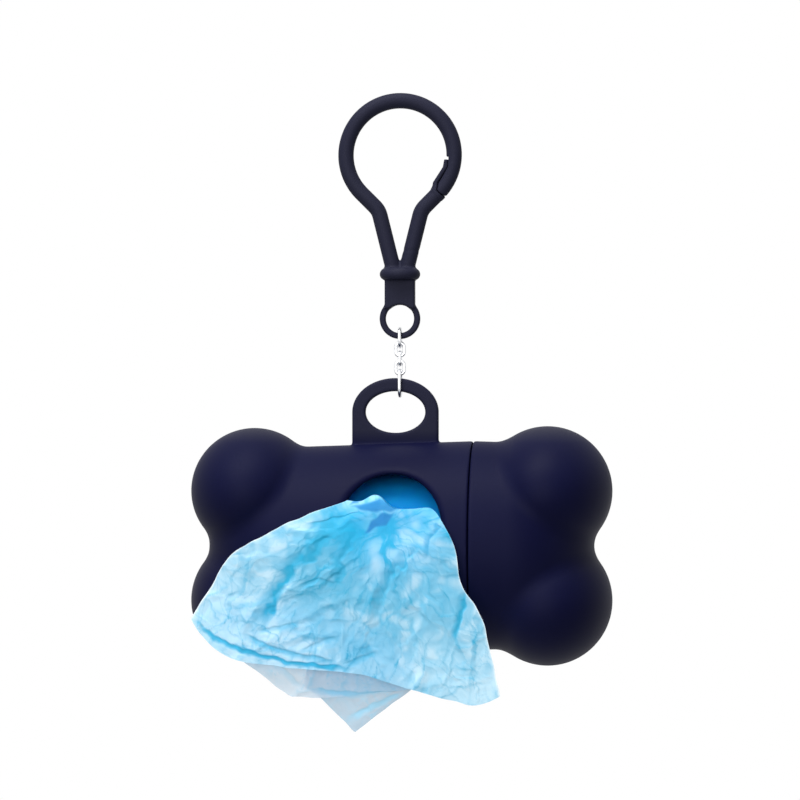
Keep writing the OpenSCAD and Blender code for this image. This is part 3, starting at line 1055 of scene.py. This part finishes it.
# Where the film is deeper or paler in colour
shading = {
    "facetPitch": 5.0,
    "smallPitch": 2.2,
    "facetRise": 0.12,
    "smallRise": 0.05,
    "mottlePitch": 7,
    "patchPitch": 2.2,
    "patchSeed": 5,
    "patches": (0.6, 0.8),
    # Deeper cyan near the hole: the film gathered there, and painted shade
    "gathered": 0.85,
    "gatherShadeReach": 8.5,
    "open": 2.2,
    "farPale": 0.95,
    "farReach": 19.0,
    # Painted shade on the film's lip, left of the hole
    "lipShadePlace": (-8.8, -1.0),
    "lipShadeSpan": 4.2,
    "lipPaintedShade": 0.75,
    "brokenPitch": 1.7,
    "flapEdge": 0.6,
    "flapWaves": 0.7,
    "flapSeed": 3,
    "flapBlotch": 1.6,
    "flapShares": (0.85, 0.3),
    # rim: a painted highlight along the film's left and right edges
    "rim": 0.006,
    "rimPaintedHighlight": 1.8,
    "rimStart": 7,
    "rimFade": 8,
}
filmHole = (case["holeX"], axisZ + case["holeRise"])


def smoothCurve(points, share):
    points = np.array(points, float)
    lengths = np.concatenate([[0], np.cumsum(np.linalg.norm(np.diff(points, axis=0), axis=1))])
    at = share * lengths[-1]
    i = np.clip(np.searchsorted(lengths, at, side="right") - 1, 0, len(points) - 2)
    t = ((at - lengths[i]) / (lengths[i + 1] - lengths[i]))[:, None]
    before, after = np.maximum(i - 1, 0), np.minimum(i + 2, len(points) - 1)
    p0, p1, p2, p3 = points[before], points[i], points[i + 1], points[after]
    return 0.5 * (2 * p1 + (p2 - p0) * t + (2 * p0 - 5 * p1 + 4 * p2 - p3) * t**2
                  + (3 * p1 - p0 - 3 * p2 + p3) * t**3)


def patch(outline):  # fills an outline of four curves
    u = np.linspace(0, 1, outline["across"])
    v = np.linspace(0, 1, outline["down"])
    top, bottom = smoothCurve(outline["top"], u), smoothCurve(outline["bottom"], u)
    left, right = smoothCurve(outline["left"], v), smoothCurve(outline["right"], v)
    uu, vv = u[:, None, None], v[None, :, None]
    flat = ((1 - vv) * top[:, None] + vv * bottom[:, None] + (1 - uu) * left[None] + uu * right[None]
            - (1 - uu) * (1 - vv) * top[0] - uu * (1 - vv) * top[-1]
            - (1 - uu) * vv * bottom[0] - uu * vv * bottom[-1])
    return flat[..., 0], flat[..., 1], uu[..., 0], vv[..., 0]


def lattice(rng, size=48):
    return rng.random((size, size))


def valueNoise(x, z, table):
    size = len(table)
    i, j = np.floor(x).astype(int), np.floor(z).astype(int)
    s, t = smoothStep(x - i), smoothStep(z - j)
    i0, i1, j0, j1 = i % size, (i + 1) % size, j % size, (j + 1) % size
    low = table[i0, j0] * (1 - s) + table[i1, j0] * s
    high = table[i0, j1] * (1 - s) + table[i1, j1] * s
    return low * (1 - t) + high * t


def smoothStep(t):
    t = np.clip(t, 0, 1)
    return t * t * (3 - 2 * t)


def ridges(x, z, pitch, rng):
    first, second, third = (lattice(rng) for _ in range(3))
    wideX, wideZ = x / pitch * 0.7, z / pitch * 0.7
    u = x / pitch + (valueNoise(wideX, wideZ, second) - 0.5) * 2
    v = z / pitch + (valueNoise(wideX + 9, wideZ, third) - 0.5) * 2
    return 1 - np.abs(2 * valueNoise(u, v, first) - 1)


def oneFold(x, z, place, turn, length, width):
    along = (x - place[0]) * math.cos(turn) + (z - place[1]) * math.sin(turn)
    across = -(x - place[0]) * math.sin(turn) + (z - place[1]) * math.cos(turn)
    across = across + creases["bow"] * length * (along / length) ** 2
    fade = np.clip(1 - (along / length) ** 2, 0, 1)
    lit = np.clip(1 - across / width, 0, 1) * (across > 0)
    dark = np.clip(1 + across / (creases["steep"] * width), 0, 1) * (across <= 0)
    return (lit + dark) * fade, dark * fade


def bent(x, z):
    bends = lattice(np.random.default_rng(creases["bendSeed"]))
    wide, fine = creases["bendPitch"], creases["fineBendPitch"]
    for whole, way in ((x, 0), (z, 7)):
        shift = valueNoise(x / wide + way, z / wide, bends) - 0.5
        shift += creases["fineBend"] * (valueNoise(x / fine + way, z / fine, bends) - 0.5)
        yield whole + creases["bend"] * shift


def randomFolds(x, z, rng):
    height, deep, pale = (np.zeros(x.shape) for _ in range(3))
    (deepShare, deepLow), (paleShare, paleHigh) = creases["deep"], creases["pale"]
    low, high = (x.min(), z.min()), (x.max(), z.max())
    area = (high[0] - low[0]) * (high[1] - low[1])
    bentX, bentZ = bent(x, z)
    for density, size, rise, strength in creases["kinds"]:
        for _ in range(int(density * area)):
            place = rng.uniform(low, high)
            across, up = place[0] - filmHole[0], place[1] - filmHole[1]
            near, further = creases["straying"]
            turn = math.atan2(up, across) + rng.normal(0, near + further * math.hypot(across, up))
            length = size * rng.uniform(*creases["lengths"])
            width = size * rng.uniform(*creases["widths"])
            if rng.random() < 0.5:
                turn += math.pi
            pulse, dark = oneFold(bentX, bentZ, place, turn, length, width)
            height += rise * rng.uniform(*creases["heights"]) * pulse
            # Each fold adds deep colour, or a painted highlight to pale
            drawn = rng.random()
            if drawn > creases["deepFrom"]:
                deep += deepShare * strength * (drawn - deepLow) * dark
            else:
                pale += paleShare * strength * (paleHigh - drawn) * dark
    return height, deep, pale


def addFlaps(x, z, blue, pale):
    edge, waves, blotch = shading["flapEdge"], shading["flapWaves"], shading["flapBlotch"]
    least, more = shading["flapShares"]
    for corners in flaps:
        ragged = lattice(np.random.default_rng(shading["flapSeed"]))
        px = x + edge * (valueNoise(x * waves, z * waves, ragged) - 0.5)
        pz = z + edge * (valueNoise(x * waves + 7, z * waves, ragged) - 0.5)
        within = smoothStep(0.5 - polygonDistance(px, pz, corners) / edge)
        within = within * (least + more * valueNoise(x / blotch, z / blotch, ragged))
        within = np.clip(within, 0, 1)
        blue = np.maximum(blue, within)
        pale = pale * (1 - within)
    return blue, pale


def strokeFold(x, z, stroke, rng):
    points, width = stroke["points"], stroke["width"]
    wobble, ragged = lattice(rng), lattice(rng)
    waves = strokes["wobbleWaves"]
    px = x + width * (valueNoise(x * waves, z * waves, wobble) - 0.5)
    pz = z + width * (valueNoise(x * waves + 5, z * waves, wobble) - 0.5)
    nearest, along, shaded = np.full(x.shape, 1e9), np.zeros(x.shape), np.zeros(x.shape, bool)
    for i, ((ax, az), (bx, bz)) in enumerate(zip(points, points[1:])):
        run = np.array([bx - ax, bz - az])
        share = np.clip(((px - ax) * run[0] + (pz - az) * run[1]) / (run @ run), 0, 1)
        dx, dz = px - ax - share * run[0], pz - az - share * run[1]
        away = np.hypot(dx, dz)
        closer = away < nearest
        nearest = np.where(closer, away, nearest)
        shaded = np.where(closer, dx * run[1] > dz * run[0], shaded)
        along = np.where(closer, (i + share) / (len(points) - 1), along)
    steep, tip = strokes["taper"]
    taper = np.clip(np.minimum(along, 1 - along) * steep + tip, 0, 1)
    soft = np.where(shaded, stroke.get("soft", strokes["soft"]), strokes["sharp"])
    pulse = np.clip(1 - nearest / (width * soft), 0, 1) * taper
    least, more = strokes["rough"]
    waves = strokes["roughWaves"]
    rough = least + more * valueNoise(x * waves, z * waves, ragged)
    full = stroke.get("full", strokes["full"])
    return pulse, np.clip(full * pulse ** strokes["curve"] * rough, 0, 1)


def filmFields(x, z, fromHole, rng, folds):
    height, deep, pale = randomFolds(x, z, rng)
    facets = ridges(x, z, shading["facetPitch"], rng)
    small = ridges(x, z, shading["smallPitch"], rng)
    height += shading["facetRise"] * facets ** 3 - shading["smallRise"] * small ** 2
    pitch = shading["mottlePitch"]
    mottled = valueNoise(x / pitch + 3, z / pitch, lattice(rng))
    pitch = shading["patchPitch"]
    patches = valueNoise(x / pitch, z / pitch, lattice(np.random.default_rng(shading["patchSeed"])))
    least, more = shading["patches"]
    # Deeper cyan near the hole: the film gathered there, and painted shade
    gathered = shading["gathered"] * np.exp(-fromHole / shading["gatherShadeReach"])
    deep += gathered * (least + more * patches)
    # Painted highlights: pale patches between the facets, and paler far from the hole
    between = 1 - 0.6 * facets - 0.4 * small
    pale += shading["open"] * np.clip(between + 0.5 * mottled - 0.60, 0, 0.45)
    pale += shading["farPale"] * np.clip(fromHole / shading["farReach"] - 1, 0, 1)
    # Painted shade: deeper cyan and no highlight on the lip left of the hole
    lipX, lipZ = shading["lipShadePlace"]
    fromLip = np.hypot(x - filmHole[0] - lipX, z - filmHole[1] - lipZ)
    lip = np.exp(-((fromLip / shading["lipShadeSpan"]) ** 2))
    deep += shading["lipPaintedShade"] * lip
    pale *= 1 - lip
    pitch = shading["brokenPitch"]
    broken = np.clip(2.4 * valueNoise(x / pitch, z / pitch + 5, lattice(rng)) - 0.9, 0, 1)
    deep += broken * (0.3 * facets ** 5 + 0.15 * small ** 6) + 0.4 * np.clip(0.55 - mottled, 0, 1)
    blue, pale = addFlaps(x, z, np.zeros(x.shape), pale)
    for stroke in folds:
        pulse, dark = strokeFold(x, z, stroke, rng)
        height -= stroke["depth"] * pulse
        blue = np.maximum(blue, stroke.get("blue", 0) * dark)
        deep = 1 - (1 - np.clip(deep, 0, 1)) * (1 - np.clip(stroke["cyan"] * dark, 0, 1))
    return height, np.clip(deep, 0, 1), np.clip(blue, 0, 1), np.clip(pale, 0, 1)


def filmDepth(x, z, u, v, fromHole, height, outline):
    height = height * outline["crumple"]
    rise = np.maximum(z - axisZ, 0)
    depth = np.sqrt(np.maximum(case["seamRadius"] ** 2 - rise**2, 1)) + drape["gap"]
    depth += outline["puff"] * np.sin(np.pi * np.clip(v, 0, 1)) * (0.6 + 0.4 * np.sin(np.pi * u))
    reach, least = drape["calm"]
    depth += height * np.clip(fromHole / reach, least, 1)
    sink = smoothStep((case["holeRadius"] + drape["sinkEdge"] - fromHole) / drape["sinkReach"])
    sink = sink * smoothStep((z - filmHole[1] + drape["sinkDrop"]) / drape["sinkFade"])
    depth = depth * (1 - sink) + (case["seamRadius"] + drape["lip"] + 0.5 * height) * sink
    return outline["behind"] - depth, sink


def addLip(sheets, z, sink):  # the rows that run from the hole's edge back to the roll
    share = np.linspace(1, 0, drape["lipRows"], endpoint=False)[None, :]
    rollFront = (rollRadius + drape["rollGap"]) ** 2 - (z[:, :1] - rollZ) ** 2
    rollFront = np.sqrt(np.maximum(rollFront, drape["leastFront"]))
    extra = [np.repeat(values[:, :1], drape["lipRows"], axis=1) for values in sheets]
    extra[1] = extra[1] * (1 - sink[:, :1] * share) - rollFront * share * sink[:, :1]
    extra[2] = extra[2] + drape["lipRise"] * np.sin(share * math.pi)
    extra[2] -= drape["lipDrop"] * np.sin(share * math.pi / 2) * share
    return [np.concatenate([e, whole], axis=1) for e, whole in zip(extra, sheets)]


def filmSheet(name, outline, material, folds):
    rng = np.random.default_rng(outline["seed"])
    x, z, u, v = patch(outline)
    fromHole = np.hypot(x - filmHole[0], z - filmHole[1])
    height, deep, blue, pale = filmFields(x, z, fromHole, rng, folds)
    # Painted highlight: a white line along the left and right edges, fading in away from the hole
    rim = np.exp(-np.minimum(u, 1 - u) / shading["rim"])
    rim = rim * smoothStep((fromHole - shading["rimStart"]) / shading["rimFade"])
    deep, pale = deep * (1 - rim), pale + shading["rimPaintedHighlight"] * rim
    y, sink = filmDepth(x, z, u, v, fromHole, height, outline)
    pitch, wave = drape["wavePitch"], drape["wave"]
    first, second = lattice(rng), lattice(rng)
    flatZ = z
    x = x + wave * (valueNoise(x / pitch, z / pitch, first) - 0.5)
    z = z + wave * (valueNoise(x / pitch, z / pitch, second) - 0.5)
    sheets = [x, y, z, deep, blue, pale]
    if "fromRoll" in outline:
        sheets = addLip(sheets, flatZ, sink)
    points = np.stack(sheets[:3], axis=-1).reshape(-1, 3) * mm
    index = np.arange(sheets[0].size).reshape(sheets[0].shape)
    corners = (index[:-1, :-1], index[:-1, 1:], index[1:, 1:], index[1:, :-1])
    faces = np.stack(corners, axis=-1).reshape(-1, 4)
    mesh = newMesh(name, points.tolist(), faces.tolist())
    for title, values in zip(("deep", "blue", "pale"), sheets[3:]):
        paint(mesh, title, values)
    mesh.materials.append(material)
    return addObject(name, mesh)


def makeFilm():
    doubled = thinFilm("sky_film", film["doubledClear"], "pale", "sky", "deep", "blue")
    single = thinFilm("pale_film", film["singleClear"], "white", "haze", "sky", "blue")
    # The tail's film is the single ply's film with a darker pale tone: painted shade
    folded = thinFilm("tail_film", film["tailClear"], "shade", "haze", "sky", "blue")
    front = filmSheet("bag_front", frontFilm, doubled, mainFolds)
    back = filmSheet("bag_back", backFilm, single, backFolds)
    tail = filmSheet("bag_tail", tailFilm, folded, tailFolds)
    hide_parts("drawn_bag")
    sheets = (
        (front, (0.065, 0.043), "gathered"),
        (back, (0.045, 0.02), "hung"),
        (tail, (0.024, 0.013), "folded"),
    )
    for piece, flat, held in sheets:
        area = sum(face.area for face in piece.data.polygons)
        stage(f"{piece.name}: {area * 1e4:.1f} square centimetres")
    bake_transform(front)
    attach(back, "bag")
    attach(tail, "bag")


makeCamera()
makeLights()
makeFloor()
stage("camera, light and floor")
makeCase(mouldedPlastic("case_plastic", plastic["colour"], plastic["paler"], plastic["tab"]))
makeClip(mouldedPlastic("clip_plastic", plastic["clip"], plastic["clipPaler"]))
dressCadNodes()
stage("chain and core")
makeRoll(rolledFilm())
stage("roll")
makeFilm()
stage("film")


def plain(bounds):
    return [[float(value) for value in corner] for corner in bounds]


{"cad": plain(cadBounds), "visual": plain(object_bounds())}
